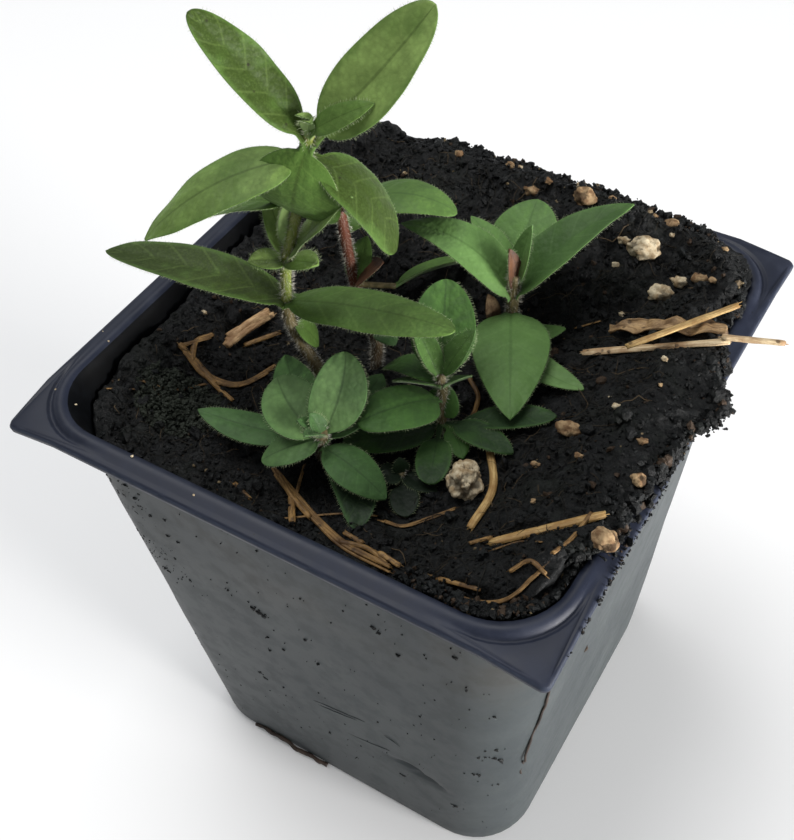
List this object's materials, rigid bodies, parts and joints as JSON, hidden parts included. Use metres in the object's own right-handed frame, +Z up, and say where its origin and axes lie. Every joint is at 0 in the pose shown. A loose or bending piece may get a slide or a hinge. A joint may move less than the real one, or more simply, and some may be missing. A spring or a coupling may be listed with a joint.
{
  "type": "potted mountain mint plant",
  "caption": "Young mint plant with hairy leafy shoots in a square tapered nursery pot, filled with dark potting mix under straw, bark and perlite.",
  "frame": {"origin": "middle of the pot's base, on the surface that it stands on", "axes": "+Z up, X and Y square to the pot's sides; the drain slot that the picture shows is on the -Y side"},
  "size_m": [0.0947, 0.089, 0.1458],
  "materials": {
    "pot_plastic": "thin grey-black thermoformed plastic, satin, dusty",
    "potting_soil": "damp near-black fibrous potting mix, matte and crumbly",
    "tall_shoot_leaf": "matte, finely hairy leaf, lighter margin and midrib, purple-brown stem",
    "back_shoot_leaf": "matte, finely hairy leaf on a red-brown stem",
    "right_shoot_leaf": "matte, finely hairy leaf, lighter midrib, purple-brown stem",
    "middle_shoot_leaf": "matte, finely hairy leaf, purple-brown hairy stem",
    "inner_shoot_leaf": "matte dark green shaded leaf on a purple-brown stem",
    "front_sprout_leaf": "matte dark green young leaf",
    "front_left_shoot_leaf": "matte, finely hairy leaf, brown-purple young tips",
    "straw": "dry pale straw, fibrous and matte",
    "twig": "dry brown twig and dead leaf, matte",
    "perlite": "porous off-white grain, matte",
    "bark": "tan crumbly bark chip, matte"
  },
  "bodies": {
    "root": {"pot": "pot_plastic", "soil": "potting_soil", "tall_shoot": "tall_shoot_leaf", "back_shoot": "back_shoot_leaf", "right_shoot": "right_shoot_leaf", "middle_shoot": "middle_shoot_leaf", "inner_shoot": "inner_shoot_leaf", "front_sprout": "front_sprout_leaf", "front_left_shoot": "front_left_shoot_leaf", "straw_long": "straw", "straw_slanting": "straw", "root_strand": "straw", "straw_front": "straw", "straw_middle": "straw", "twig_front": "twig", "twig_left": "twig", "twig_corner": "twig", "dead_leaf": "twig", "perlite_ball": "perlite", "perlite_pair": "perlite", "perlite_back": "perlite", "bark_back": "bark", "bark_rim": "bark", "bark_middle": "bark", "bark_right": "bark", "bark_left": "bark", "dead_bract": "bark"}
  },
  "joints": []
}
